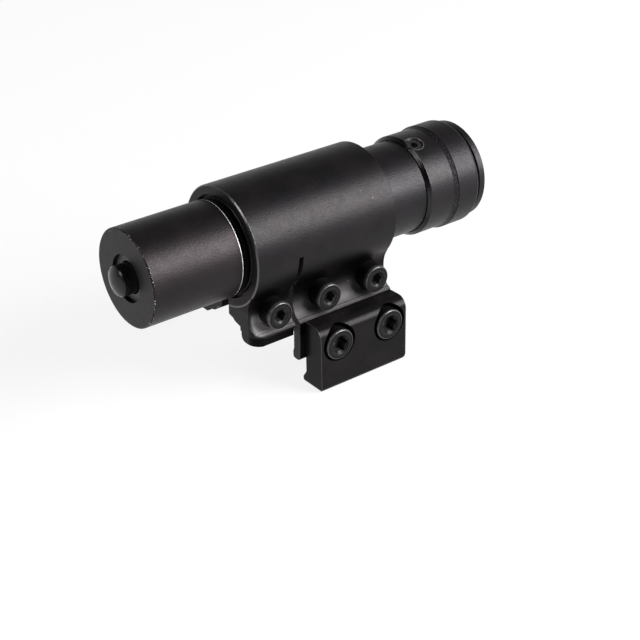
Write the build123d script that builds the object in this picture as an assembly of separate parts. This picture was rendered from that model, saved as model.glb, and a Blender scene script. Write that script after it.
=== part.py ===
from build123d import *
import math
import os

# Laser sight in a split clamp-ring rail mount. Millimetres.
# The origin is the centre of the tail cap's end face, on the laser axis.
# +X is the way the beam leaves, +Z is up, and -Y is the side with the screw heads and the hook plate.

# ---- Driving dimensions ------------------------------------------------------------------------------

# Tube, tail cap and head, from back to front along X
TAIL_R = 12.0
TAIL_LENGTH = 24.1
TUBE_R = 11.9
NECK_R = 10.5
TUBE_START = 26.3
HEAD_START = 79.8
CONE_START = 88.0
BEZEL_START = 89.2
BEZEL_END = 96.2
RING_START = 96.9
OVERALL_LENGTH = 98.9
HEAD_R = 12.95
BEZEL_R = 13.45
BEZEL_EDGE_R = 1.0
HEAD_CHAMFER = 0.8
FRONT_RING_R = 12.6
GROOVE_R = 11.9
NECK_START = 15.4
SPIGOT_R = 11.0
SPIGOT_END = 86.0
CELL_BORE_R = 8.9
BULKHEAD_START = 59.8
BULKHEAD_END = 61.4
BULKHEAD_BORE_R = 7.5
CHAMBER_R = 9.0
BEZEL_THREAD_R = 11.6
WINDOW_START = 93.45
WINDOW_R = 10.8

# Tail switch
BUTTON_R = 3.7
BUTTON_HOLE_R = 4.0
TAIL_HOLE_R = 5.8
TAIL_HOLE_DEPTH = 1.1
BUTTON_OUT = 3.5
DOME_SAG = 0.9
BUTTON_BEVEL = 0.3
FLANGE_START = 2.9
FLANGE_END = 3.7
FLANGE_R = 5.2
PLUNGER_R = 1.6
PLUNGER_END = 10.9
BAY_START = 2.6
BAY_END = 15.2
BAY_R = 9.2
HOUSING_R = 9.1
HOUSING_FLOOR = 8.3
HOUSING_END = 12.6
CONTACT_END = 13.6
RETAINER_END = 15.1

# Battery, CR123A size
CELL_R = 8.5
CELL_START = 24.6
CELL_LENGTH = 33.6

# Laser module and its tilt screws
MODULE_R = 6.9
MODULE_START = 64.0
MODULE_END = 91.0
PIVOT_X = 66.5
SCREW_X = 82.3
SET_SCREW_R = 1.95
SET_HOLE_R = 2.0
SET_POINT_R = 7.3
ELEVATION_ANGLE = 16.0
WINDAGE_ANGLE = ELEVATION_ANGLE - 90.0
SPRING_ANGLE = ELEVATION_ANGLE + 135.0
SPRING_HOLE_R = 1.7
SET_MOUTH_R = 2.45
SET_MOUTH_DEPTH = 0.5
LENS_R = 4.95
LENS_START = 85.25
LENS_RIM = 86.0
LENS_CROWN = 87.3

# Clamp-ring mount
MOUNT_START = 25.9
MOUNT_END = 67.3
RING_R = 15.0
RING_EDGE = 0.3
RING_BORE_R = 11.96
SLOT_NEAR = -2.4
SLOT_FAR = 0.6
SLIT_START = 37.7
SLIT_END = 39.0
SLIT_TOP = -0.8
NECK_Y = 10.4
LIP_Y = 13.2
LIP_Z = -19.6
SEAT_Z = -22.8
LEG_IN_Y = 10.7
LEG_BOTTOM = -30.2
DOVETAIL_Y = 6.4
DOVETAIL_Z = -19.35
FOOT_Y = 12.3
FOOT_EDGE_R = 1.6
FAR_FOOT_Z = -20.4
FAR_FOOT_EDGE_R = 0.8
FAR_LEG_EXTRA = 2.0
CATCH_IN = 0.35
CATCH_TOP = -27.4
CATCH_FULL = -28.4
FILLET_R = 7.0
HOLLOW_TOP = -15.0
HOLLOW_R = 5.2
LIP_CORNER_R = 3.0
FOOT_CORNER_R = 3.4
FOOT_SETBACK = 0.7
MOUTH_R = 12.75
MOUTH_DEPTH = 1.2

# Ring screws, M4 cap screws
RING_SCREW_X = (32.4, 47.1, 61.8)
RING_SCREW_Z = -14.65
SPOT_FACE_Y = -10.6
SPOT_FACE_R = 3.9
M4_R = 1.95
M4_HOLE_R = 2.0
M4_HEAD_R = 3.5
M4_HEAD_H = 4.0
M4_HEX = 3.0
RING_SCREW_END_Y = 7.0

# Hook plate and its screws, M5 cap screws
PLATE_START = 40.5
PLATE_END = 67.2
PLATE_IN_Y = -13.3
PLATE_OUT_Y = -19.3
PLATE_TOP = -19.5
PLATE_BOTTOM = -36.9
PLATE_ROUND_R = 2.8
HOOK_TIP_Y = -12.35
PLATE_CORNER_R = 2.0
PLATE_BACK_CORNER_R = 1.0
RAIL_SCREW_X = (46.2, 61.8)
RAIL_SCREW_Z = -25.0
M5_R = 2.45
M5_HOLE_R = 2.5
M5_HEAD_R = 4.0
M5_HEAD_H = 4.6
M5_HEX = 4.0
COUNTERBORE_R = 4.8
COUNTERBORE_Y = -15.3
COUNTERBORE_Z = RAIL_SCREW_Z + 0.35

# Clearance between a shaft and its hole where nothing is threaded
RUNNING = 0.05


# ---- Shape helpers -----------------------------------------------------------------------------------


def turned(*outline):
    """A solid turned about the laser axis from a closed outline of (x, radius) points."""
    face = make_face(Polyline(*[(x, r) for x, r in outline], close=True))
    return revolve(face, axis=Axis.X, revolution_arc=360)


def ring(x0, x1, outer, inner=0.0):
    """A plain disc, or a ring when it has an inner radius, about the laser axis."""
    if inner == 0.0:
        return turned((x0, 0), (x1, 0), (x1, outer), (x0, outer))
    return turned((x0, inner), (x1, inner), (x1, outer), (x0, outer))


def extruded(outline, x0, x1):
    """A bar along X from a closed outline of (y, z, corner radius) points."""
    points = [(0, y, z) for y, z, r in outline]
    wire = FilletPolyline(*points, radius=[r for y, z, r in outline], close=True)
    face = Face(Wire(wire.edges()))
    return Pos(x0, 0, 0) * extrude(face, amount=x1 - x0, dir=(1, 0, 0))


def block(x0, x1, y0, y1, z0, z1):
    """A box between two corners."""
    centre = ((x0 + x1) / 2, (y0 + y1) / 2, (z0 + z1) / 2)
    return Pos(*centre) * Box(x1 - x0, y1 - y0, z1 - z0)


def rod_y(x, z, y0, y1, radius):
    """A round bar or hole tool along Y."""
    place = Plane(origin=(x, (y0 + y1) / 2, z), z_dir=(0, 1, 0))
    return place * Cylinder(radius, abs(y1 - y0))


def radial(angle, x=SCREW_X):
    """The plane across a radial hole: its Z axis points outwards, angle is from +Z towards -Y."""
    turn = math.radians(angle)
    outwards = (0, -math.sin(turn), math.cos(turn))
    return Plane(origin=(x, 0, 0), x_dir=(1, 0, 0), z_dir=outwards)


def radial_rod(angle, r0, r1, radius, x=SCREW_X):
    """A round bar or hole tool along a radius, from r0 to r1 off the laser axis."""
    return radial(angle, x) * Pos(0, 0, (r0 + r1) / 2) * Cylinder(radius, r1 - r0)


def coil(start, end, wire_r, radius, turns):
    """A round-wire compression spring whose wire fills the length between two points on its axis."""
    along = (Vector(*end) - Vector(*start)).normalized()
    height = (Vector(*end) - Vector(*start)).length - 2 * wire_r
    foot_point = Vector(*start) + along * wire_r
    path = Helix(height / turns, height, radius, center=foot_point, direction=along)
    section = Plane(origin=path @ 0, z_dir=path % 0) * Circle(wire_r)
    return sweep(section, path=path)


def axial_coil(x0, x1, wire_r, radius, turns):
    """A compression spring on the laser axis."""
    return coil((x0, 0, 0), (x1, 0, 0), wire_r, radius, turns)


def dome(rim_x, tip_x, rim_r):
    """The cap of a ball on the laser axis, from its flat side at rim_x to its tip."""
    sag = abs(tip_x - rim_x)
    ball_r = (rim_r**2 + sag**2) / (2 * sag)
    half_turn = math.asin(rim_r / ball_r) / 2
    towards_tip = math.copysign(1, tip_x - rim_x)
    middle = (tip_x - towards_tip * ball_r * (1 - math.cos(half_turn)), ball_r * math.sin(half_turn), 0)
    tip = (tip_x, 0, 0)
    rim = (rim_x, rim_r, 0)
    centre = (rim_x, 0, 0)
    edges = [
        Edge.make_line(centre, rim),
        Edge.make_three_point_arc(rim, middle, tip),
        Edge.make_line(tip, centre),
    ]
    return revolve(Face(Wire(edges)), axis=Axis.X, revolution_arc=360)


def torus_x(x, ring_r, cord_r):
    """An O-ring about the laser axis."""
    return Plane(origin=(x, 0, 0), z_dir=(1, 0, 0)) * Torus(ring_r, cord_r)


def cap_screw(x, z, head_y, shank_end_y, head_r, head_h, shank_r, hexagon):
    """A socket head cap screw along Y, its head's face at head_y on the -Y side."""
    under = head_y + head_h
    head = rod_y(x, z, head_y, under, head_r)
    rim = head.edges().filter_by(GeomType.CIRCLE).sort_by(Axis.Y)[0]
    head = fillet(rim, 0.13 * head_r)
    shank = rod_y(x, z, under - 0.5, shank_end_y, shank_r)
    face = Plane(origin=(x, head_y, z), x_dir=(1, 0, 0), z_dir=(0, -1, 0))
    socket_r = hexagon / 2 / math.cos(math.pi / 6)
    socket = face * extrude(RegularPolygon(socket_r, 6), amount=-0.6 * head_h)
    drill_point = face * Pos(0, 0, -0.6 * head_h) * Cone(0.2, hexagon / 2, 0.8)
    mouth = face * Pos(0, 0, -0.3) * Cone(socket_r - 0.35, socket_r + 0.3, 0.6)
    return head + shank - socket - drill_point - mouth


# ---- Clamp-ring mount --------------------------------------------------------------------------------


def arc_points(centre, radius, turn0, turn1):
    """The start, middle and end of an arc in Y and Z. Angles are in radians from +Y towards +Z."""
    points = []
    for turn in (turn0, (turn0 + turn1) / 2, turn1):
        points.append((0, centre[0] + radius * math.cos(turn), centre[1] + radius * math.sin(turn)))
    return points


def mirrored(points, side):
    """Points of the +Y side, or the same on the -Y side."""
    return [(x, side * y, z) for x, y, z in points]


def neck(side, x0, x1):
    """The waist on one side: a fillet off the ring, a straight, and the hollow that sweeps out to the lip."""
    fillet_y = NECK_Y + FILLET_R
    fillet_z = -math.sqrt((RING_R + FILLET_R) ** 2 - fillet_y**2)
    ring_turn = math.atan2(-fillet_z, -fillet_y)
    fillet = mirrored(arc_points((fillet_y, fillet_z), FILLET_R, ring_turn, math.pi), side)
    hollow_y = NECK_Y + HOLLOW_R
    lip_turn = math.pi + math.asin((HOLLOW_TOP - LIP_Z) / HOLLOW_R)
    hollow = mirrored(arc_points((hollow_y, HOLLOW_TOP), HOLLOW_R, math.pi, lip_turn), side)
    inside = mirrored([(0, 7.0, LIP_Z), (0, 7.0, -18.2), (0, 0, -16.4), (0, 0, -9.5), (0, 9.0, -9.5)], side)
    corners = [hollow[2], *inside, fillet[0]]
    edges = [
        Edge.make_three_point_arc(*fillet),
        Edge.make_line(fillet[2], hollow[0]),
        Edge.make_three_point_arc(*hollow),
    ]
    for start, end in zip(corners, corners[1:]):
        edges.append(Edge.make_line(start, end))
    face = Face(Wire(edges))
    return Pos(x0, 0, 0) * extrude(face, amount=x1 - x0, dir=(1, 0, 0))


def foot(side, x0, x1, bottom, edge_r):
    """The foot under one side's lip, with the dovetail channel's wall and ceiling on its inside."""
    outline = [
        (0, -15.5, 0),
        (side * 8.0, -15.5, 0),
        (side * 8.0, LIP_Z + 0.5, 0),
        (side * FOOT_Y, LIP_Z + 0.5, 0),
        (side * FOOT_Y, bottom, 0.3),
        (side * DOVETAIL_Y, bottom, edge_r),
        (side * DOVETAIL_Y, DOVETAIL_Z, 0.3),
        (side * 3.5, DOVETAIL_Z + 0.7, 1.2),
        (side * 1.9, -16.4, 0),
        (0, -16.4, 0),
    ]
    return extruded(outline, x0, x1)


def lip(side, x0, x1):
    """The thin edge of the lip that stands proud of the foot."""
    outline = [
        (side * 8.0, LIP_Z + 0.6, 0),
        (side * (LIP_Y - 0.6), LIP_Z + 0.6, 0),
        (side * LIP_Y, LIP_Z, 0),
        (side * LIP_Y, LIP_Z - 0.6, 0.25),
        (side * 8.0, LIP_Z - 0.6, 0),
    ]
    return extruded(outline, x0, x1)


def leg(side, x0, x1, outer_y):
    """A rail leg: a straight outside, and a small catch at the foot of its inside."""
    outline = [
        (side * (LEG_IN_Y - 1.5), LIP_Z, 0),
        (side * outer_y, LIP_Z, 0),
        (side * outer_y, LEG_BOTTOM, 1.1),
        (side * (LEG_IN_Y - CATCH_IN), LEG_BOTTOM, 0.8),
        (side * (LEG_IN_Y - CATCH_IN), CATCH_FULL, 0.3),
        (side * LEG_IN_Y, CATCH_TOP, 0.3),
        (side * LEG_IN_Y, SEAT_Z, 0),
        (side * (LEG_IN_Y - 1.5), SEAT_Z, 0),
    ]
    return extruded(outline, x0, x1)


def back_corner(x, y, corner_r, bottom, top):
    """The tool that rounds a near back corner at (x, -y), seen from above."""
    x_middle = x + corner_r
    y_middle = -y + corner_r
    square = block(x - 1, x_middle, -y - 1, y_middle, bottom, top)
    kept = Pos(x_middle, y_middle, (bottom + top) / 2) * Cylinder(corner_r, top - bottom + 1)
    return square - kept


def make_mount_body():
    """Ring, split neck, feet and rail legs in one piece, with the saw slit through the near half."""
    body = turned(
        (MOUNT_START, RING_BORE_R),
        (MOUNT_START, RING_R - RING_EDGE),
        (MOUNT_START + RING_EDGE, RING_R),
        (MOUNT_END - RING_EDGE, RING_R),
        (MOUNT_END, RING_R - RING_EDGE),
        (MOUNT_END, RING_BORE_R),
    )
    for side in (-1, 1):
        body += neck(side, MOUNT_START, MOUNT_END)
        body += lip(side, MOUNT_START, MOUNT_END)
    near_foot_x = MOUNT_START + FOOT_SETBACK
    near_foot = foot(-1, near_foot_x, MOUNT_END, SEAT_Z, FOOT_EDGE_R)
    body += near_foot - back_corner(near_foot_x, FOOT_Y, FOOT_CORNER_R, SEAT_Z - 1, LIP_Z)
    body += foot(1, MOUNT_START, SLIT_END, FAR_FOOT_Z, FAR_FOOT_EDGE_R)
    body += foot(1, SLIT_END, MOUNT_END, SEAT_Z, FOOT_EDGE_R)
    body += leg(-1, SLIT_END, MOUNT_END, LIP_Y)
    body += leg(1, SLIT_END, MOUNT_END, LIP_Y + FAR_LEG_EXTRA)
    body -= back_corner(MOUNT_START, LIP_Y, LIP_CORNER_R, SEAT_Z - 0.1, -15.5)
    body -= ring(MOUNT_START - 1, MOUNT_END + 1, RING_BORE_R)
    body -= ring(MOUNT_START - 1, MOUNT_START + MOUTH_DEPTH, MOUTH_R)
    body -= block(MOUNT_START - 1, MOUNT_END + 1, SLOT_NEAR, SLOT_FAR, SEAT_Z, -11)
    body -= block(SLIT_START, SLIT_END, -20, SLOT_NEAR + 0.5, LEG_BOTTOM - 1, SLIT_TOP)
    for x in RING_SCREW_X:
        body -= rod_y(x, RING_SCREW_Z, SPOT_FACE_Y - 1, SLOT_NEAR + 1, M4_HOLE_R)
        body -= rod_y(x, RING_SCREW_Z, SLOT_FAR - 1, NECK_Y + 5, M4_HOLE_R)
        body -= rod_y(x, RING_SCREW_Z, SPOT_FACE_Y - 5, SPOT_FACE_Y, SPOT_FACE_R)
    for x in RAIL_SCREW_X:
        body -= rod_y(x, RAIL_SCREW_Z, -LIP_Y - 1, -LEG_IN_Y + 1, M5_HOLE_R)
    return body


def make_ring_screw(x):
    """An M4 by 18 cap screw that pulls the two halves of the neck together."""
    face_y = SPOT_FACE_Y - M4_HEAD_H
    return cap_screw(x, RING_SCREW_Z, face_y, RING_SCREW_END_Y, M4_HEAD_R, M4_HEAD_H, M4_R, M4_HEX)


def make_rail_screw(x):
    """An M5 cap screw that holds the hook plate to the near leg."""
    face_y = COUNTERBORE_Y - M5_HEAD_H
    return cap_screw(x, RAIL_SCREW_Z, face_y, -LEG_IN_Y - 0.1, M5_HEAD_R, M5_HEAD_H, M5_R, M5_HEX)


def make_hook_plate():
    """The bolt-on plate outside the near leg, with the rail hook along its bottom."""
    outline = [
        (PLATE_IN_Y, PLATE_TOP - 0.2, 0.3),
        (PLATE_OUT_Y, PLATE_TOP, PLATE_ROUND_R),
        (PLATE_OUT_Y - 0.4, PLATE_BOTTOM, 1.3),
        (HOOK_TIP_Y - 0.3, PLATE_BOTTOM, 0.8),
        (HOOK_TIP_Y, PLATE_BOTTOM + 1.6, 0.5),
        (PLATE_IN_Y - 0.3, PLATE_BOTTOM + 3.5, 0.8),
    ]
    plate = extruded(outline, PLATE_START, PLATE_END)
    plate -= plate_corner(PLATE_END, PLATE_CORNER_R)
    plate -= plate_corner(PLATE_START, PLATE_BACK_CORNER_R)
    for x in RAIL_SCREW_X:
        plate -= rod_y(x, RAIL_SCREW_Z, -20, PLATE_IN_Y + 1, M5_HOLE_R + 0.2)
        plate -= rod_y(x, COUNTERBORE_Z, -25, COUNTERBORE_Y, COUNTERBORE_R)
    return plate


def plate_corner(x_end, corner_r):
    """The tool that rounds one bottom corner of the hook plate, seen from the side."""
    inwards = corner_r if x_end == PLATE_START else -corner_r
    outwards = -0.1 if x_end == PLATE_START else 0.1
    x0, x1 = sorted((x_end + outwards, x_end + inwards))
    square = block(x0, x1, -21, -11, PLATE_BOTTOM - 0.5, PLATE_BOTTOM + corner_r)
    kept = rod_y(x_end + inwards, PLATE_BOTTOM + corner_r, -22, -10, corner_r)
    return square - kept


# ---- Tube and head -----------------------------------------------------------------------------------


def make_body_tube():
    """The main tube: back neck for the tail cap, cell bore, bulkhead, module chamber and head spigot."""
    tube = turned(
        (NECK_START, CELL_BORE_R),
        (NECK_START, NECK_R - 0.3),
        (NECK_START + 0.3, NECK_R),
        (TUBE_START, NECK_R),
        (TUBE_START, TUBE_R - 0.2),
        (TUBE_START + 0.2, TUBE_R),
        (HEAD_START - RUNNING, TUBE_R),
        (HEAD_START - RUNNING, SPIGOT_R),
        (SPIGOT_END, SPIGOT_R),
        (SPIGOT_END, CHAMBER_R),
        (BULKHEAD_END, CHAMBER_R),
        (BULKHEAD_END, BULKHEAD_BORE_R),
        (BULKHEAD_START, BULKHEAD_BORE_R),
        (BULKHEAD_START, CELL_BORE_R),
    )
    for angle in (ELEVATION_ANGLE, WINDAGE_ANGLE):
        tube -= radial_rod(angle, MODULE_R, TUBE_R, SET_HOLE_R)
    tube -= radial_rod(SPRING_ANGLE, MODULE_R, TUBE_R, SPRING_HOLE_R)
    return tube


def make_adjuster_head():
    """The stepped ring over the tube's spigot: the set screws' holes, the cone and the bezel's thread."""
    head = turned(
        (HEAD_START, SPIGOT_R + RUNNING),
        (HEAD_START, HEAD_R - HEAD_CHAMFER),
        (HEAD_START + HEAD_CHAMFER, HEAD_R),
        (CONE_START, HEAD_R),
        (BEZEL_START - 0.1, BEZEL_R - 0.1),
        (BEZEL_START - 0.1, BEZEL_THREAD_R),
        (92.0, BEZEL_THREAD_R),
        (92.0, 10.0),
        (SPIGOT_END + 0.1, 10.0),
        (SPIGOT_END + 0.1, SPIGOT_R + RUNNING),
    )
    for angle in (ELEVATION_ANGLE, WINDAGE_ANGLE):
        head -= radial_rod(angle, 10.0, 14.0, SET_HOLE_R)
        mouth = Cone(SET_HOLE_R, 2 * SET_MOUTH_R - SET_HOLE_R, 2 * SET_MOUTH_DEPTH)
        head -= radial(angle) * Pos(0, 0, HEAD_R) * mouth
    return head


def make_set_screw(angle):
    """An M4 hex socket set screw with a cone point, square to the laser axis."""
    face_r = HEAD_R - 0.5
    body = radial_rod(angle, SET_POINT_R + 0.8, face_r, SET_SCREW_R)
    point = radial(angle) * Pos(0, 0, SET_POINT_R + 0.4) * Cone(0.9, SET_SCREW_R, 0.8)
    hexagon = RegularPolygon(1.0 / math.cos(math.pi / 6), 6)
    socket = radial(angle) * Pos(0, 0, face_r - 2.0) * extrude(hexagon, amount=2.2)
    return body + point - socket


def make_front_bezel():
    """The larger collar screwed over the head's thread, with a rounded front edge."""
    bezel = turned(
        (BEZEL_START, BEZEL_THREAD_R + RUNNING),
        (BEZEL_START, BEZEL_R),
        (BEZEL_END, BEZEL_R),
        (BEZEL_END, 11.3),
        (93.4, 11.3),
        (93.4, 9.6),
        (92.2, 9.6),
        (92.2, BEZEL_THREAD_R + RUNNING),
    )
    circles = bezel.edges().filter_by(GeomType.CIRCLE)
    front_edge = circles.sort_by(lambda edge: edge.radius + edge.center().X)[-1]
    return fillet(front_edge, BEZEL_EDGE_R)


def make_front_ring():
    """The retaining ring that holds the window in, with its dished mouth."""
    return turned(
        (95.6, 9.2),
        (95.6, 11.25),
        (RING_START - 0.6, 11.25),
        (RING_START - 0.6, GROOVE_R),
        (RING_START, GROOVE_R),
        (RING_START, FRONT_RING_R - 0.1),
        (RING_START + 0.1, FRONT_RING_R),
        (OVERALL_LENGTH - 0.3, FRONT_RING_R),
        (OVERALL_LENGTH, FRONT_RING_R - 0.3),
        (OVERALL_LENGTH, 10.9),
        (RING_START - 0.2, 9.2),
    )


# ---- Tail cap and switch -----------------------------------------------------------------------------


def make_tail_cap():
    """The cap with the flat end, the button's hole, the switch bay and the thread's bore."""
    return turned(
        (0, TAIL_HOLE_R),
        (0, TAIL_R - 0.25),
        (0.25, TAIL_R),
        (TAIL_LENGTH - 0.25, TAIL_R),
        (TAIL_LENGTH, TAIL_R - 0.25),
        (TAIL_LENGTH, NECK_R + RUNNING),
        (BAY_END, NECK_R + RUNNING),
        (BAY_END, BAY_R),
        (BAY_START, BAY_R),
        (BAY_START, BUTTON_HOLE_R),
        (TAIL_HOLE_DEPTH, BUTTON_HOLE_R),
        (TAIL_HOLE_DEPTH, TAIL_HOLE_R),
    )


def make_push_button():
    """The domed plunger, with a bevelled rim, a groove behind it and a flange that keeps it in."""
    rim_x = -BUTTON_OUT + DOME_SAG
    body = turned(
        (rim_x, 0),
        (rim_x, BUTTON_R - BUTTON_BEVEL),
        (rim_x + BUTTON_BEVEL, BUTTON_R),
        (-1.2, BUTTON_R),
        (-1.2, BUTTON_R - 0.25),
        (-0.9, BUTTON_R - 0.25),
        (-0.9, BUTTON_R),
        (FLANGE_START, BUTTON_R),
        (FLANGE_START, FLANGE_R),
        (FLANGE_END, FLANGE_R),
        (FLANGE_END, PLUNGER_R),
        (PLUNGER_END, PLUNGER_R),
        (PLUNGER_END, 0),
    )
    return body + dome(rim_x, -BUTTON_OUT, BUTTON_R - BUTTON_BEVEL)


def make_switch_housing():
    """The insulating cup round the button's spring: its floor guides the plunger to the contact."""
    floor_end = HOUSING_FLOOR + 1.2
    return turned(
        (BAY_START + 0.1, FLANGE_R + 0.7),
        (BAY_START + 0.1, HOUSING_R),
        (HOUSING_END, HOUSING_R),
        (HOUSING_END, HOUSING_R - 1.1),
        (floor_end, HOUSING_R - 1.1),
        (floor_end, PLUNGER_R + RUNNING),
        (HOUSING_FLOOR, PLUNGER_R + RUNNING),
        (HOUSING_FLOOR, FLANGE_R + 0.7),
    )


def make_switch_retainer():
    """The ring that holds the switch in the cap's bay."""
    return ring(CONTACT_END + 0.1, RETAINER_END, HOUSING_R, 6.0)


# ---- Laser module ------------------------------------------------------------------------------------


def make_module_housing():
    """The brass barrel of the laser module, open at both ends."""
    return turned(
        (MODULE_START, 5.2),
        (MODULE_START, MODULE_R - 0.2),
        (MODULE_START + 0.2, MODULE_R),
        (MODULE_END - 0.2, MODULE_R),
        (MODULE_END, MODULE_R - 0.2),
        (MODULE_END, 6.0),
        (65.4, 6.0),
        (65.4, 5.2),
    )


def make_diode_holder():
    """The brass plug that takes the laser diode's can."""
    return turned(
        (70.0, 2.9),
        (70.0, 5.95),
        (76.0, 5.95),
        (76.0, 2.1),
        (73.3, 2.1),
        (73.3, 2.9),
    )


def make_laser_diode():
    """The diode: a 5.6 mm can on its base, with three pins behind."""
    diode = ring(72.0, 73.2, 2.8) + ring(73.2, 75.6, 1.95)
    for turn in (90, 210, 330):
        y = 1.27 * math.cos(math.radians(turn))
        z = 1.27 * math.sin(math.radians(turn))
        diode += Pos(70.4, y, z) * Rot(0, 90, 0) * Cylinder(0.22, 3.3)
    return diode


def make_lens_barrel():
    """The threaded sleeve that carries the collimating lens and sets its focus."""
    return turned(
        (80.0, 3.0),
        (80.0, 5.9),
        (87.4, 5.9),
        (87.4, 5.0),
        (85.2, 5.0),
        (85.2, 3.6),
        (83.0, 3.6),
        (83.0, 3.0),
    )


def make_collimating_lens():
    """A plano-convex lens, flat side to the diode."""
    return ring(LENS_START, LENS_RIM, LENS_R) + dome(LENS_RIM, LENS_CROWN, LENS_R)


def make_driver_parts():
    """The chip, the capacitor and the trimmer on the driver board, as separate solids."""
    chip = block(67.85, 69.0, -1.6, 1.6, 1.8, 4.4)
    capacitor = block(67.85, 69.2, -3.6, -1.6, -3.2, -0.8)
    trimmer = Pos(68.45, 2.4, -2.2) * Rot(0, 90, 0) * Cylinder(1.3, 1.2)
    return Compound(children=[chip, capacitor, trimmer])


def make_return_spring():
    """The spring across from the two set screws, which holds the module against them."""
    away = radial(SPRING_ANGLE)
    start = away.origin + away.z_dir * (MODULE_R + 0.65)
    end = away.origin + away.z_dir * SPIGOT_R
    return coil(tuple(start), tuple(end), 0.22, 1.2, 4)


# ---- Every node --------------------------------------------------------------------------------------

nodes = {
    "mount_body": make_mount_body(),
    "ring_screw_rear": make_ring_screw(RING_SCREW_X[0]),
    "ring_screw_middle": make_ring_screw(RING_SCREW_X[1]),
    "ring_screw_front": make_ring_screw(RING_SCREW_X[2]),
    "rail_screw_rear": make_rail_screw(RAIL_SCREW_X[0]),
    "rail_screw_front": make_rail_screw(RAIL_SCREW_X[1]),
    "hook_plate": make_hook_plate(),
    "body_tube": make_body_tube(),
    "tail_cap": make_tail_cap(),
    "tail_o_ring": torus_x(25.3, 11.15, 0.6),
    "push_button": make_push_button(),
    "button_spring": axial_coil(FLANGE_END + 0.1, HOUSING_FLOOR - 0.1, 0.25, 2.6, 4),
    "switch_housing": make_switch_housing(),
    "switch_contact": ring(HOUSING_END + 0.1, CONTACT_END, HOUSING_R),
    "switch_retainer": make_switch_retainer(),
    "tail_spring": axial_coil(CONTACT_END + 0.05, CELL_START - 0.1, 0.4, 4.2, 5),
    "battery": ring(CELL_START, CELL_START + CELL_LENGTH, CELL_R) + ring(58.0, 59.3, 3.2),
    "contact_insulator": ring(BULKHEAD_END + 0.1, 62.6, CHAMBER_R - 0.1, 2.6),
    "driver_spring": axial_coil(59.4, 66.5, 0.3, 1.8, 5),
    "driver_board": ring(66.6, 67.8, 5.9),
    "driver_parts": make_driver_parts(),
    "module_housing": make_module_housing(),
    "diode_holder": make_diode_holder(),
    "laser_diode": make_laser_diode(),
    "lens_spring": axial_coil(76.05, 79.95, 0.3, 4.6, 3),
    "lens_barrel": make_lens_barrel(),
    "collimating_lens": make_collimating_lens(),
    "lens_retainer": ring(87.5, 88.6, 5.9, 3.9),
    "pivot_o_ring": torus_x(PIVOT_X, 7.95, 0.99),
    "adjuster_head": make_adjuster_head(),
    "elevation_screw": make_set_screw(ELEVATION_ANGLE),
    "windage_screw": make_set_screw(WINDAGE_ANGLE),
    "return_spring": make_return_spring(),
    "front_bezel": make_front_bezel(),
    "front_window": ring(WINDOW_START, WINDOW_START + 1.45, WINDOW_R),
    "window_o_ring": torus_x(95.25, 10.3, 0.34),
    "front_ring": make_front_ring(),
}

os.makedirs("parts", exist_ok=True)
for name, shape in nodes.items():
    export_step(shape, f"parts/{name}.step")
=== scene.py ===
import math
import bmesh
import bpy
from mathutils import Matrix, Vector


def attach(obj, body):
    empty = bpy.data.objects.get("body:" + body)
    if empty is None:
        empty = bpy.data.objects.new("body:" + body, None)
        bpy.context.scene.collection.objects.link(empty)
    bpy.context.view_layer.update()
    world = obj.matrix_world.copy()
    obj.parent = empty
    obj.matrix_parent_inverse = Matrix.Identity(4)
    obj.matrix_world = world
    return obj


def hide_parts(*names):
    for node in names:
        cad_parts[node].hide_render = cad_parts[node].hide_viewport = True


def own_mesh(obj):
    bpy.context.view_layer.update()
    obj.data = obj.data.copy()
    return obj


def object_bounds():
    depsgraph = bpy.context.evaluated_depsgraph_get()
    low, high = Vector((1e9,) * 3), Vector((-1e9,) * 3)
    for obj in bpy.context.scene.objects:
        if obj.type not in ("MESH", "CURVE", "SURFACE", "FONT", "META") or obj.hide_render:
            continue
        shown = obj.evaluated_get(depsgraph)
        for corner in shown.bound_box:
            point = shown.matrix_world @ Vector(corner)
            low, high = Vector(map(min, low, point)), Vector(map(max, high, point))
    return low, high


# Looks of a black anodised laser sight in its clamp-ring rail mount.
# Metres, +Z up, +X the way the beam leaves.
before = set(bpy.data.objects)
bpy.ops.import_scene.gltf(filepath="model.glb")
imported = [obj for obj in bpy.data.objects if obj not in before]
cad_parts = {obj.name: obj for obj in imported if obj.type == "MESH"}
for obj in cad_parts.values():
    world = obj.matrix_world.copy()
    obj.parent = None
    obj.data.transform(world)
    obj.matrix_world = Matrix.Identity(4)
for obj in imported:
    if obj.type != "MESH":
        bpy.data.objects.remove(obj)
cad_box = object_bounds()

MM = 0.001

# ---- Places on the part, in millimetres --------------------------------------------------------------

TAIL_R = 12.0
CAP_FRONT = 24.1
CAP_BORE_R = 10.55
CAP_BORE_START = 15.2
HOLE_FLOOR = 1.1
NECK_R = 10.5
NECK_START = 15.7
NECK_END = 26.3
NECK_PLAIN = 1.9
TUBE_THREAD_PITCH = 1.0
TUBE_THREAD_DEPTH = 0.5
MOUNT_BACK = 25.9
SLIT_WALLS = (37.7, 39.0)
SLIT_TOP = -1.0
SLOT_Y = -1.9
LIP_Z = -19.6
PLATE_ENDS = (40.5, 67.2)
HEAD_BACK = 79.8
HEAD_BACK_EDGE = 80.6
SET_SCREW_X = 82.3
SET_SCREW_ANGLES = (16.0, -74.0)
CONE_START = 88.0
CONE_END = 89.2
BEZEL_FRONT = 96.2
RING_SCREWS = (("ring_screw_rear", 32.4), ("ring_screw_middle", 47.1), ("ring_screw_front", 61.8))
RING_SCREW_Z = -14.65
RAIL_SCREWS = (("rail_screw_rear", 46.2), ("rail_screw_front", 61.8))
RAIL_SCREW_Z = -25.0
# A shank's radius, start and end along Y, thread pitch and thread depth
M4_SHANK = (1.95, -10.6, 7.0, 0.7, 0.38)
M5_SHANK = (2.45, -15.3, -10.8, 0.8, 0.43)

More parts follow.
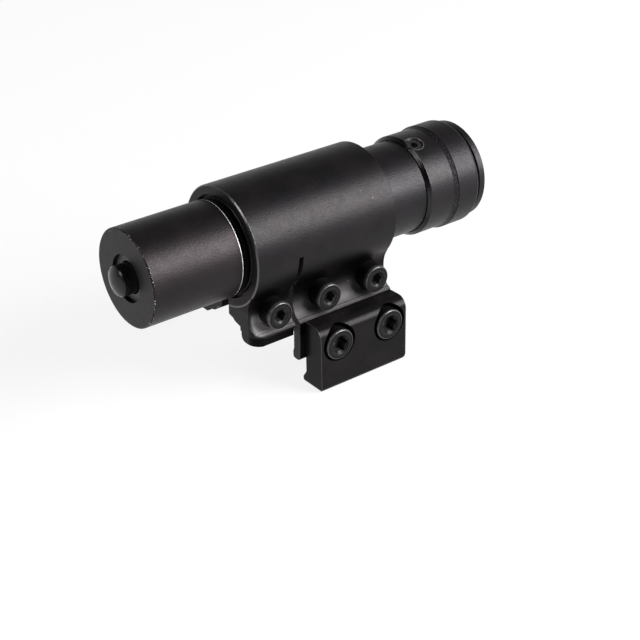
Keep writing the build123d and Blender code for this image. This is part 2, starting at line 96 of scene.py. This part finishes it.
# ---- Camera, light and floor -------------------------------------------------------------------------

VIEW_AZIMUTH = 37.71
VIEW_ELEVATION = 29.85
VIEW_ROLL = -0.20
VIEW_DISTANCE = 340 * MM
VIEW_TARGET = Vector((31.6, -30.6, -8.1)) * MM
LENS_MM = 84.88
LIGHT_TARGET = Vector((48, 0, 0)) * MM
FLOOR_SIZE = 8.0
WALL_DIRECTION = (0.53, 0.85, 0.0)


def turned_back(azimuth, elevation):
    """The direction from a target back to a camera or light: azimuth from -Y towards -X, in degrees."""
    a = math.radians(azimuth)
    e = math.radians(elevation)
    return Vector((-math.sin(a) * math.cos(e), -math.cos(a) * math.cos(e), math.sin(e)))


def aim(place, target, roll=0.0):
    """The matrix of a camera or light at place that looks at target."""
    back = (place - target).normalized()
    right = Vector((0, 0, 1)).cross(back).normalized()
    up = back.cross(right)
    turn = math.radians(roll)
    r = right * math.cos(turn) + up * math.sin(turn)
    u = up * math.cos(turn) - right * math.sin(turn)
    matrix = Matrix((r, u, back)).transposed().to_4x4()
    matrix.translation = place
    return matrix


def make_camera():
    data = bpy.data.cameras.new("camera")
    data.lens = LENS_MM
    data.sensor_width = 36.0
    data.clip_start = 0.01
    data.clip_end = 20.0
    camera = bpy.data.objects.new("camera", data)
    bpy.context.scene.collection.objects.link(camera)
    back = turned_back(VIEW_AZIMUTH, VIEW_ELEVATION)
    camera.matrix_world = aim(VIEW_TARGET + back * VIEW_DISTANCE, VIEW_TARGET, VIEW_ROLL)
    bpy.context.scene.camera = camera


def make_softbox(name, azimuth, elevation, distance, width, height, radiance):
    """A rectangular soft light. Its power is worked out from the brightness of its face."""
    data = bpy.data.lights.new(name, "AREA")
    data.shape = "RECTANGLE"
    data.size = width
    data.size_y = height
    data.energy = radiance * math.pi * width * height
    light = bpy.data.objects.new(name, data)
    bpy.context.scene.collection.objects.link(light)
    light.matrix_world = aim(LIGHT_TARGET + turned_back(azimuth, elevation) * distance, LIGHT_TARGET)


def graded(tree, value, low, high, to_low, to_high):
    """A shader value between low and high, mapped in a straight line onto to_low and to_high."""
    node = tree.nodes.new("ShaderNodeMapRange")
    tree.links.new(value, node.inputs["Value"])
    node.inputs["From Min"].default_value = low
    node.inputs["From Max"].default_value = high
    node.inputs["To Min"].default_value = to_low
    node.inputs["To Max"].default_value = to_high
    return node.outputs["Result"]


def make_world():
    """A white wall behind the object, brightest low down. The room on the camera's side is dark."""
    world = bpy.data.worlds.new("studio")
    world.use_nodes = True
    tree = world.node_tree
    direction = tree.nodes.new("ShaderNodeTexCoord").outputs["Generated"]
    split = tree.nodes.new("ShaderNodeSeparateXYZ")
    tree.links.new(direction, split.inputs[0])
    towards_wall = tree.nodes.new("ShaderNodeVectorMath")
    towards_wall.operation = "DOT_PRODUCT"
    tree.links.new(direction, towards_wall.inputs[0])
    towards_wall.inputs[1].default_value = WALL_DIRECTION
    level = tree.nodes.new("ShaderNodeMath")
    level.operation = "MULTIPLY"
    low_wall = graded(tree, split.outputs["Z"], 0.0, 0.68, 1.0, 0.06)
    far_side = graded(tree, towards_wall.outputs["Value"], -0.3, 0.35, 0.08, 1.0)
    tree.links.new(low_wall, level.inputs[0])
    tree.links.new(far_side, level.inputs[1])
    tree.links.new(level.outputs[0], tree.nodes["Background"].inputs["Strength"])
    tree.nodes["Background"].inputs["Color"].default_value = (1.0, 1.0, 1.0, 1.0)
    bpy.context.scene.world = world


def make_floor():
    mesh = bpy.data.meshes.new("floor")
    h = FLOOR_SIZE / 2
    z = cad_box[0][2]
    mesh.from_pydata([(-h, -h, z), (h, -h, z), (h, h, z), (-h, h, z)], [], [(0, 1, 2, 3)])
    floor = bpy.data.objects.new("floor", mesh)
    bpy.context.scene.collection.objects.link(floor)
    material = bpy.data.materials.new("floor_paper")
    material.use_nodes = True
    paper = material.node_tree.nodes["Principled BSDF"]
    paper.inputs["Base Color"].default_value = (0.12, 0.12, 0.12, 1.0)
    paper.inputs["Roughness"].default_value = 0.9
    paper.inputs["Specular IOR Level"].default_value = 0.1
    paper.inputs["Emission Color"].default_value = (1.0, 1.0, 1.0, 1.0)
    paper.inputs["Emission Strength"].default_value = 0.86
    mesh.materials.append(material)


make_camera()
make_world()
make_floor()
make_softbox("key_right", -39, 27, 0.9, 0.55, 0.56, 20.0)
make_softbox("fill_left", 92, 38, 0.9, 0.35, 0.3, 7.0)
bpy.context.scene.view_settings.view_transform = "Standard"

# ---- Material building blocks ------------------------------------------------------------------------


class Recipe:
    """One material under construction: its principled shader, and short calls for the nodes that feed it."""

    def __init__(self, name, roughness, ior=1.45, metallic=0.0):
        self.material = bpy.data.materials.new(name)
        self.material.use_nodes = True
        self.nodes = self.material.node_tree.nodes
        self.links = self.material.node_tree.links
        self.shader = self.nodes["Principled BSDF"]
        self.coordinates = self.nodes.new("ShaderNodeTexCoord")
        self.place = self.coordinates.outputs["Object"]
        self.x, self.y, self.z = self.split(self.place)
        self.socket("Roughness").default_value = roughness
        self.socket("IOR").default_value = ior
        self.socket("Metallic").default_value = metallic

    def socket(self, name):
        return self.shader.inputs[name]

    def feed(self, socket, value):
        """Puts a number, a colour or another node's output into a socket."""
        if isinstance(value, (int, float)):
            socket.default_value = value
        elif isinstance(value, tuple):
            socket.default_value = (*value, 1.0)
        else:
            self.links.new(value, socket)

    def split(self, vector):
        """The X, Y and Z of a vector."""
        node = self.nodes.new("ShaderNodeSeparateXYZ")
        self.links.new(vector, node.inputs[0])
        return tuple(node.outputs)

    def math(self, operation, a, b=0.0):
        node = self.nodes.new("ShaderNodeMath")
        node.operation = operation
        self.feed(node.inputs[0], a)
        self.feed(node.inputs[1], b)
        return node.outputs[0]

    def times(self, a, b):
        return self.math("MULTIPLY", a, b)

    def ramp(self, value, low, high, to_low=0.0, to_high=1.0):
        """value between low and high, mapped smoothly onto to_low and to_high."""
        node = self.nodes.new("ShaderNodeMapRange")
        node.interpolation_type = "SMOOTHSTEP"
        self.feed(node.inputs["Value"], value)
        node.inputs["From Min"].default_value = low
        node.inputs["From Max"].default_value = high
        node.inputs["To Min"].default_value = to_low
        node.inputs["To Max"].default_value = to_high
        return node.outputs["Result"]

    def between(self, value, low_mm, high_mm, edge_mm=0.02):
        """1 where a length lies between two sizes, and 0 outside."""
        above = self.ramp(value, (low_mm - edge_mm) * MM, low_mm * MM)
        below = self.ramp(value, high_mm * MM, (high_mm + edge_mm) * MM, 1.0, 0.0)
        return self.times(above, below)

    def scaled(self, size_mm, stretch):
        """Object coordinates counted in features of size_mm, with more of them along a stretched axis."""
        node = self.nodes.new("ShaderNodeMapping")
        node.inputs["Scale"].default_value = [s / (size_mm * MM) for s in stretch]
        self.links.new(self.place, node.inputs["Vector"])
        return node.outputs[0]

    def noise(self, size_mm, detail=2.0, stretch=(1.0, 1.0, 1.0)):
        """Soft noise with features about size_mm across."""
        node = self.nodes.new("ShaderNodeTexNoise")
        node.inputs["Scale"].default_value = 1.0
        node.inputs["Detail"].default_value = detail
        self.links.new(self.scaled(size_mm, stretch), node.inputs["Vector"])
        return node.outputs["Fac"]

    def specks(self, spacing_mm, size, share):
        """Small round specks: one cell in every spacing_mm may hold one, and a share of the cells does."""
        node = self.nodes.new("ShaderNodeTexVoronoi")
        node.inputs["Scale"].default_value = 1.0
        self.links.new(self.scaled(spacing_mm, (1.0, 1.0, 1.0)), node.inputs["Vector"])
        chosen = self.math("LESS_THAN", self.split(node.outputs["Color"])[0], share)
        dot = self.ramp(node.outputs["Distance"], size * 0.6, size, 1.0, 0.0)
        return self.times(chosen, dot)

    def mix(self, factor, a, b):
        """A colour between a and b."""
        node = self.nodes.new("ShaderNodeMix")
        node.data_type = "RGBA"
        self.feed(node.inputs[0], factor)
        self.feed(node.inputs[6], a)
        self.feed(node.inputs[7], b)
        return node.outputs[2]

    def blend(self, factor, a, b):
        """A number between a and b."""
        node = self.nodes.new("ShaderNodeMix")
        self.feed(node.inputs[0], factor)
        self.feed(node.inputs[2], a)
        self.feed(node.inputs[3], b)
        return node.outputs[0]

    def colour(self, value):
        self.feed(self.socket("Base Color"), value)

    def bump(self, height, depth_mm, strength=1.0):
        node = self.nodes.new("ShaderNodeBump")
        node.inputs["Strength"].default_value = strength
        node.inputs["Distance"].default_value = depth_mm * MM
        self.feed(node.inputs["Height"], height)
        self.links.new(node.outputs["Normal"], self.socket("Normal"))

    def radius(self):
        """The distance from the laser axis."""
        squares = self.math("ADD", self.math("POWER", self.y, 2.0), self.math("POWER", self.z, 2.0))
        return self.math("SQRT", squares)


def paint(recipe, *names):
    """Gives CAD nodes a material."""
    for name in names:
        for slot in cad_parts[name].material_slots:
            slot.material = recipe.material


# ---- Materials ---------------------------------------------------------------------------------------

BARE_METAL = (0.72, 0.72, 0.74)
DUST = (0.30, 0.29, 0.29)


class Anodised(Recipe):
    """Bead-blasted and black-dyed aluminium: fine grain, faint clouds in the dye and a few dust specks."""

    def __init__(self, name, tint, roughness, ior, grain_mm=0.42, grain_depth_mm=0.042, dust=0.012):
        super().__init__(name, roughness, ior)
        self.socket("Specular Tint").default_value = (*tint, 1.0)
        clouds = self.ramp(self.noise(7.0, detail=3.0), 0.35, 0.65)
        dyed = self.mix(clouds, (0.0042, 0.0039, 0.0044), (0.0066, 0.0056, 0.0062))
        self.base = self.mix(self.times(self.specks(1.3, 0.11, dust), 0.8), dyed, DUST)
        patches = self.ramp(self.noise(2.2, detail=3.0), 0.3, 0.7, roughness - 0.02, roughness + 0.02)
        sparkle = self.ramp(self.noise(0.3, detail=1.0), 0.3, 0.7, -0.05, 0.05)
        self.gloss = self.math("ADD", patches, sparkle)
        self.grain = self.noise(grain_mm, detail=3.0)
        self.metal = 0.0
        self.grain_depth_mm = grain_depth_mm

    def wear_and_painted_light(self, mask, colour, metallic, roughness):
        """Lets another finish show where the mask is 1. It lays real wear, and also painted shade and
        painted light.
        """
        self.base = self.mix(mask, self.base, colour)
        self.metal = self.blend(mask, self.metal, metallic)
        self.gloss = self.blend(mask, self.gloss, roughness)

    def done(self):
        self.colour(self.base)
        self.feed(self.socket("Metallic"), self.metal)
        self.feed(self.socket("Roughness"), self.gloss)
        self.bump(self.grain, self.grain_depth_mm)
        return self


def cap_finish():
    """The tail cap: a browner black, with the turned bevel at its front edge left bare."""
    r = Anodised("anodised_cap", (1.0, 0.86, 0.90), 0.43, 1.3)
    front = r.between(r.x, CAP_FRONT - 0.32, CAP_FRONT + 0.1)
    bevel = r.times(front, r.between(r.radius(), TAIL_R - 0.45, TAIL_R + 0.2))
    r.wear_and_painted_light(bevel, (0.95, 0.95, 0.95), 0.2, 0.40)
    floor_level = r.between(r.x, HOLE_FLOOR - 0.05, HOLE_FLOOR + 0.05)
    hole_floor = r.times(floor_level, r.between(r.radius(), 3.9, 5.7))
    r.wear_and_painted_light(hole_floor, (0.09, 0.09, 0.09), 0.3, 0.45)
    end_edge = r.times(r.between(r.x, -0.1, 0.35), r.between(r.radius(), TAIL_R - 0.4, TAIL_R + 0.2))
    chips = r.ramp(r.noise(0.35, detail=1.0), 0.66, 0.70)
    r.wear_and_painted_light(r.times(r.times(chips, end_edge), 0.9), BARE_METAL, 0.9, 0.35)
    return r.done()


def mount_finish():
    """The clamp ring, with a rubbed back edge and slanted saw marks in the slit.

    The waist and the near side of the foot are darkened as painted shade, and the lip behind the rear screw
    is paled as painted light, both by place on the part. The lights alone don't give them.
    """
    r = Anodised("anodised_mount", (1.0, 0.93, 0.97), 0.40, 1.25, dust=0.03)
    # Painted shade: the waist and the near side of the foot below the lip get a dark finish that hardly
    # shines, where the real part is only in shade.
    waist = r.times(r.ramp(r.z, -9.0 * MM, -1.5 * MM, 1.0, 0.0), r.ramp(r.z, -14.6 * MM, -12.6 * MM))
    near_foot = r.times(r.between(r.z, -22.9, -20.0, 0.2), r.ramp(r.y, -10.0 * MM, -9.0 * MM, 1.0, 0.0))
    painted_shade = r.math("MAXIMUM", waist, near_foot)
    r.wear_and_painted_light(r.times(painted_shade, 0.85), (0.004, 0.004, 0.004), 1.0, 0.42)
    # Painted light: the lip behind the rear screw is made paler, where the real part catches light.
    above_edge = r.ramp(r.z, LIP_Z * MM, (LIP_Z + 0.8) * MM)
    lip_light_height = r.times(above_edge, r.ramp(r.z, -16.5 * MM, -14.0 * MM, 1.0, 0.0))
    lip_light_length = r.times(r.ramp(r.x, 26.2 * MM, 27.2 * MM), r.ramp(r.x, 30.0 * MM, 37.0 * MM, 1.0, 0.2))
    painted_lip_light = r.times(r.times(lip_light_height, lip_light_length), r.ramp(r.y, -9.0 * MM, -8.0 * MM, 1.0, 0.0))
    r.wear_and_painted_light(r.times(painted_lip_light, 0.8), (0.30, 0.285, 0.29), 0.0, 0.45)
    back = r.between(r.x, MOUNT_BACK - 0.02, MOUNT_BACK + 0.32)
    back_edge = r.times(back, r.between(r.radius(), 14.65, 15.1))
    r.wear_and_painted_light(back_edge, (0.10, 0.10, 0.10), 1.0, 0.30)
    back_wall, front_wall = [r.between(r.x, x - 0.02, x + 0.02) for x in SLIT_WALLS]
    walls = r.math("MAXIMUM", back_wall, front_wall)
    below = r.ramp(r.z, (SLIT_TOP - 0.2) * MM, SLIT_TOP * MM, 1.0, 0.0)
    slit = r.times(r.times(walls, below), r.ramp(r.y, (SLOT_Y - 0.3) * MM, SLOT_Y * MM, 1.0, 0.0))
    slant = r.math("SUBTRACT", r.z, r.times(r.y, 0.8))
    wobble = r.times(r.noise(1.5), 0.5 * MM)
    marks = r.math("SINE", r.times(r.math("ADD", slant, wobble), 2 * math.pi / (1.1 * MM)))
    r.wear_and_painted_light(r.times(slit, r.ramp(marks, 0.0, 0.9, 0.0, 0.5)), (0.10, 0.10, 0.10), 0.6, 0.35)
    r.grain = r.math("ADD", r.grain, r.times(r.times(marks, slit), 1.5))
    return r.done()


def plate_finish():
    """The hook plate: the same dye over a smoother, glossier face, rubbed at both ends."""
    r = Anodised("anodised_plate", (1.0, 0.94, 0.97), 0.31, 1.18, grain_depth_mm=0.012, dust=0.03)
    back, front = PLATE_ENDS
    back_end = r.between(r.x, back + 0.03, back + 0.22)
    front_end = r.between(r.x, front - 0.22, front - 0.03)
    ends = r.math("MAXIMUM", back_end, front_end)
    r.wear_and_painted_light(r.times(ends, 0.25), (0.12, 0.12, 0.12), 0.8, 0.30)
    return r.done()


def tube_finish():
    """The tube and the front collar, rubbed along the collar's front edge."""
    r = Anodised("anodised_tube", (0.99, 0.94, 1.0), 0.42, 1.28, dust=0.02)
    front = r.between(r.x, BEZEL_FRONT - 0.12, BEZEL_FRONT + 0.05)
    front_edge = r.times(front, r.between(r.radius(), 12.3, 13.2))
    r.wear_and_painted_light(r.times(front_edge, 0.7), (0.16, 0.16, 0.16), 0.9, 0.32)
    return r.done()


def from_hole_axis(r, angle):
    """The distance from a set screw's axis, where it faces out. angle is from +Z towards -Y, in degrees."""
    turn = math.radians(angle)
    ahead = r.math("SUBTRACT", r.x, SET_SCREW_X * MM)
    outwards = r.math("SUBTRACT", r.times(r.z, math.cos(turn)), r.times(r.y, math.sin(turn)))
    sideways = r.math("ADD", r.times(r.y, math.cos(turn)), r.times(r.z, math.sin(turn)))
    distance = r.math("SQRT", r.math("ADD", r.times(ahead, ahead), r.times(sideways, sideways)))
    facing_in = r.math("LESS_THAN", outwards, 0.0)
    return r.math("ADD", distance, facing_in)


def head_finish():
    """The adjuster head: a coarse-cut cone round its front, and rubbed edges at its back and screw holes."""
    r = Anodised("anodised_head", (1.0, 0.95, 0.99), 0.41, 1.28, dust=0.03)
    cone = r.between(r.x, CONE_START, CONE_END)
    ridges = r.noise(0.22, detail=2.0, stretch=(0.5, 1.0, 1.0))
    flecks = r.ramp(ridges, 0.60, 0.72)
    r.wear_and_painted_light(r.times(cone, r.times(flecks, 0.10)), BARE_METAL, 0.5, 0.35)
    r.grain = r.math("ADD", r.grain, r.times(r.times(ridges, cone), 2.5))
    for angle in SET_SCREW_ANGLES:
        rim = r.between(from_hole_axis(r, angle), 2.36, 2.50, 0.05)
        r.wear_and_painted_light(r.times(rim, 0.6), (0.20, 0.20, 0.21), 0.8, 0.32)
    back = r.between(r.x, HEAD_BACK - 0.05, HEAD_BACK_EDGE + 0.05)
    back_edge = r.times(back, r.ramp(r.radius(), TAIL_R * MM, (TAIL_R + 0.1) * MM))
    r.wear_and_painted_light(back_edge, (0.035, 0.035, 0.035), 1.0, 0.25)
    return r.done()


def oxide_finish():
    """Black oxide on steel screws: an oily sheen, turning marks on the face, and a rim rubbed paler."""
    r = Recipe("black_oxide", 0.30, ior=1.18)
    across_x, face_y, across_z = r.split(r.coordinates.outputs["Generated"])
    dx = r.math("SUBTRACT", across_x, 0.5)
    dz = r.math("SUBTRACT", across_z, 0.5)
    out = r.times(r.math("SQRT", r.math("ADD", r.times(dx, dx), r.times(dz, dz))), 2.0)
    face = r.ramp(face_y, 0.02, 0.06, 1.0, 0.0)
    rim = r.ramp(out, 0.89, 0.95)
    land = r.times(r.ramp(out, 0.50, 0.56), r.ramp(out, 0.76, 0.82, 0.06, 0.0))
    socket = r.ramp(out, 0.50, 0.56, 0.4, 0.0)
    bright = r.times(r.math("ADD", rim, land), face)
    rubbed = r.times(r.math("MAXIMUM", bright, socket), r.ramp(r.noise(0.6, detail=3.0), 0.3, 0.6, 0.5, 1.0))
    r.colour(r.mix(rubbed, (0.005, 0.005, 0.006), (0.10, 0.10, 0.10)))
    r.feed(r.socket("Metallic"), r.times(rubbed, 0.7))
    r.feed(r.socket("Roughness"), r.ramp(r.noise(0.9, detail=3.0), 0.3, 0.7, 0.24, 0.38))
    r.bump(r.noise(0.18, detail=2.0), 0.006)
    return r


def set_screw_finish():
    r = Recipe("black_oxide_set_screw", 0.28, ior=1.5)
    worn = r.ramp(r.noise(0.4, detail=3.0), 0.45, 0.65)
    r.colour(r.mix(worn, (0.01, 0.01, 0.01), (0.06, 0.06, 0.06)))
    r.feed(r.socket("Metallic"), r.times(worn, 0.5))
    r.bump(r.noise(0.15), 0.006)
    return r


def moulded(name, dark, light, roughness, ior=1.46, skin_mm=0.010):
    """Injection-moulded plastic: a faint flow pattern and a fine eggshell skin."""
    r = Recipe(name, roughness, ior)
    r.colour(r.mix(r.ramp(r.noise(5.0, stretch=(0.3, 1.0, 1.0)), 0.3, 0.7), dark, light))
    r.feed(r.socket("Roughness"), r.ramp(r.noise(1.8), 0.3, 0.7, roughness - 0.05, roughness + 0.05))
    r.bump(r.noise(0.5, detail=3.0), skin_mm)
    return r


def rubber(name):
    """Black rubber: matt, with a dusty bloom."""
    r = Recipe(name, 0.8, ior=1.15)
    r.colour(r.mix(r.ramp(r.noise(1.2, detail=4.0), 0.4, 0.8), (0.002, 0.002, 0.002), (0.006, 0.006, 0.006)))
    r.bump(r.noise(0.15), 0.010)
    return r


def bright_metal(name, dark, light, roughness, stretch=(8.0, 1.0, 1.0), mark_mm=1.5):
    """Turned or drawn metal: fine marks one way, and slight tarnish."""
    r = Recipe(name, roughness, metallic=1.0)
    r.colour(r.mix(r.ramp(r.noise(2.5, detail=4.0), 0.3, 0.7), dark, light))
    marks = r.noise(mark_mm, detail=3.0, stretch=stretch)
    r.feed(r.socket("Roughness"), r.ramp(marks, 0.3, 0.7, roughness - 0.07, roughness + 0.07))
    r.bump(marks, 0.008)
    return r


def cell_finish():
    """The cell: a shrink sleeve over the can, bare steel at both ends."""
    r = Recipe("cell_wrap", 0.32, ior=1.5)
    sleeve = r.times(r.between(r.x, 24.75, 57.9, 0.05), r.ramp(r.radius(), 7.5 * MM, 7.7 * MM))
    collar = r.between(r.x, 50.5, 57.9)
    ink = r.mix(collar, (0.02, 0.075, 0.16), (0.45, 0.46, 0.47))
    tone = r.mix(r.ramp(r.noise(4.0, detail=3.0), 0.3, 0.7), (0.56, 0.55, 0.53), (0.66, 0.65, 0.62))
    r.colour(r.mix(sleeve, tone, ink))
    r.feed(r.socket("Metallic"), r.math("SUBTRACT", 1.0, sleeve))
    r.bump(r.noise(2.6, detail=2.0, stretch=(0.4, 1.0, 1.0)), 0.03)
    return r


def board_finish():
    """A green circuit board: solder mask over glass weave, with tinned pads round the spring's place."""
    r = Recipe("board_green", 0.35, ior=1.5)
    pad = r.ramp(r.radius(), 2.5 * MM, 2.6 * MM, 1.0, 0.0)
    weave = r.math("ADD", r.math("SINE", r.times(r.y, 7000.0)), r.math("SINE", r.times(r.z, 7000.0)))
    mask = r.mix(r.ramp(weave, -1.5, 1.5), (0.008, 0.075, 0.030), (0.012, 0.11, 0.045))
    r.colour(r.mix(pad, mask, (0.70, 0.69, 0.66)))
    r.feed(r.socket("Metallic"), pad)
    r.bump(weave, 0.006)
    return r


def component_finish():
    """The board's parts: black epoxy chip, tan ceramic capacitor and a blue trimmer."""
    r = Recipe("component_bodies", 0.45, ior=1.5)
    chip = r.ramp(r.z, 1.2 * MM, 1.4 * MM)
    trimmer = r.ramp(r.y, 0.2 * MM, 0.4 * MM)
    others = r.mix(trimmer, (0.36, 0.24, 0.13), (0.03, 0.09, 0.24))
    speckled = r.ramp(r.noise(0.25, detail=3.0), 0.35, 0.65, 0.0, 0.25)
    r.colour(r.mix(speckled, r.mix(chip, others, (0.010, 0.010, 0.011)), (0.10, 0.09, 0.08)))
    r.bump(r.noise(0.2), 0.012)
    return r


def glass(name, coating):
    """Optical glass with a thin coloured coating and a trace of dust."""
    r = Recipe(name, 0.03, ior=1.52)
    r.socket("Transmission Weight").default_value = 1.0
    r.socket("Specular Tint").default_value = (*coating, 1.0)
    r.colour(r.mix(r.specks(1.1, 0.06, 0.10), (0.97, 0.99, 0.98), (0.6, 0.6, 0.6)))
    r.feed(r.socket("Roughness"), r.ramp(r.noise(3.0, detail=4.0), 0.45, 0.8, 0.02, 0.10))
    return r


def paint_everything():
    paint(cap_finish(), "tail_cap")
    paint(mount_finish(), "mount_body")
    paint(plate_finish(), "hook_plate")
    paint(tube_finish(), "body_tube", "front_bezel", "front_ring")
    paint(head_finish(), "adjuster_head")
    paint(oxide_finish(), "ring_screw_rear", "ring_screw_middle", "ring_screw_front")
    paint(oxide_finish(), "rail_screw_rear", "rail_screw_front")
    paint(set_screw_finish(), "elevation_screw", "windage_screw")
    button = moulded("button_plastic", (0.008, 0.008, 0.008), (0.013, 0.013, 0.014), 0.20, 1.35, 0.004)
    paint(button, "push_button")
    paint(moulded("inner_plastic", (0.55, 0.53, 0.47), (0.62, 0.60, 0.54), 0.42), "switch_housing")
    paint(moulded("insulator_plastic", (0.05, 0.05, 0.055), (0.07, 0.07, 0.075), 0.5), "contact_insulator")
    paint(moulded("retainer_plastic", (0.02, 0.02, 0.02), (0.03, 0.03, 0.03), 0.45), "switch_retainer")
    paint(rubber("seal_rubber"), "tail_o_ring", "window_o_ring", "pivot_o_ring")
    springs = ("button_spring", "tail_spring", "driver_spring", "lens_spring", "return_spring")
    paint(bright_metal("spring_steel", (0.50, 0.50, 0.51), (0.66, 0.66, 0.66), 0.27), *springs)
    paint(bright_metal("contact_brass", (0.62, 0.43, 0.17), (0.75, 0.55, 0.25), 0.30), "switch_contact")
    brass_parts = ("module_housing", "diode_holder", "lens_barrel", "lens_retainer")
    paint(bright_metal("module_brass", (0.58, 0.40, 0.16), (0.72, 0.52, 0.23), 0.33), *brass_parts)
    paint(bright_metal("diode_gold", (0.80, 0.58, 0.26), (0.90, 0.68, 0.33), 0.22), "laser_diode")
    paint(cell_finish(), "battery")
    paint(board_finish(), "driver_board")
    paint(component_finish(), "driver_parts")
    paint(glass("lens_glass", (0.75, 0.85, 1.0)), "collimating_lens")
    paint(glass("window_glass", (0.80, 0.70, 1.0)), "front_window")


# ---- Threads -----------------------------------------------------------------------------------------


def thread_depth(phase):
    """How deep a thread is cut, from 0 at the crest to 1 at the root, over one pitch."""
    from_root = abs(phase % 1.0 - 0.5)
    return min(max((0.44 - from_root) / 0.31, 0.0), 1.0)


def cut_plain_surface(mesh, centre, axis, radius, start, end):
    """Takes out the faces of one plain cylinder between two places on its axis."""
    shape = bmesh.new()
    shape.from_mesh(mesh)
    slack = 0.03 * MM

    def on_surface(face):
        if abs(face.normal.dot(axis)) > 0.2:
            return False
        for vertex in face.verts:
            offset = vertex.co - centre
            along = offset.dot(axis)
            out = (offset - axis * along).length
            if abs(out - radius) > slack or not start - slack < along < end + slack:
                return False
        return True

    faces = [face for face in shape.faces if on_surface(face)]
    bmesh.ops.delete(shape, geom=faces, context="FACES")
    shape.to_mesh(mesh)
    shape.free()


def thread_mesh(centre, axis, across, radius, start, end, plain, pitch, depth, around):
    """A right-handed thread wound round its axis. It runs out before both ends, with a plain length left."""
    side = axis.cross(across)
    rows = round((end - start) / pitch * 12)
    points = []
    for row in range(rows + 1):
        along = start + (end - start) * row / rows
        from_end = max(0.0, min(along - start, end - plain - along))
        run_out = min(1.0, from_end / (0.5 * pitch))
        for step in range(around):
            turn = 2 * math.pi * step / around
            cut = depth * run_out * thread_depth(along / pitch - step / around)
            out = across * math.cos(turn) + side * math.sin(turn)
            points.append(centre + axis * along + out * (radius - cut))
    faces = []
    for row in range(rows):
        for step in range(around):
            near = row * around
            far = near + around
            after = (step + 1) % around
            faces.append((near + step, near + after, far + after, far + step))
    return points, faces


def copied(node, body):
    """The node's own shape again, as a piece that takes its place."""
    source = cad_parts[node]
    mesh = source.data.copy()
    piece = bpy.data.objects.new(node + "_copy", mesh)
    bpy.context.scene.collection.objects.link(piece)
    for own, shared in zip(piece.material_slots, source.material_slots):
        own.material = shared.material
    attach(piece, body)
    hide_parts(node)
    return piece


def threaded(
    node, body, slot, centre_mm, axis, radius_mm, start_mm, end_mm, pitch_mm, depth_mm, plain_mm=0, around=64
):
    """The node's own shape, with one plain cylinder cut as a thread. A hole has a negative depth."""
    mesh = copied(node, body).data
    centre = Vector(centre_mm) * MM
    axis = Vector(axis)
    across = Vector((axis.y, axis.z, axis.x))
    radius, start, end, plain = radius_mm * MM, start_mm * MM, end_mm * MM, plain_mm * MM
    cut_plain_surface(mesh, centre, axis, radius, start, end)
    points, faces = thread_mesh(
        centre, axis, across, radius, start, end, plain, pitch_mm * MM, depth_mm * MM, around
    )
    if depth_mm < 0:
        faces = [tuple(reversed(face)) for face in faces]
    shape = bmesh.new()
    shape.from_mesh(mesh)
    corners = [shape.verts.new(point) for point in points]
    for face in faces:
        shape.faces.new([corners[i] for i in face]).smooth = True
    shape.to_mesh(mesh)
    shape.free()


def make_threads():
    """The threads that show when the tail cap or a screw comes out."""
    origin = (0, 0, 0)
    ahead = (1, 0, 0)
    across = (0, 1, 0)
    pitch, depth = TUBE_THREAD_PITCH, TUBE_THREAD_DEPTH
    neck = (NECK_R, NECK_START, NECK_END, pitch, depth, NECK_PLAIN)
    bore = (CAP_BORE_R, CAP_BORE_START, CAP_FRONT, pitch, -depth)
    threaded("body_tube", "mount", "tube_black", origin, ahead, *neck, around=128)
    threaded("tail_cap", "tail_cap", "cap_black", origin, ahead, *bore, around=128)
    for name, x in RING_SCREWS:
        threaded(name, name, "black_oxide", (x, 0, RING_SCREW_Z), across, *M4_SHANK)
    for name, x in RAIL_SCREWS:
        threaded(name, name, "black_oxide", (x, 0, RAIL_SCREW_Z), across, *M5_SHANK)


def make_soft_spring():
    """The switch spring as a copy with a mesh of its own, carried with the tail cap."""
    spring = copied("button_spring", "tail_cap")
    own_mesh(spring)


paint_everything()
make_threads()
make_soft_spring()
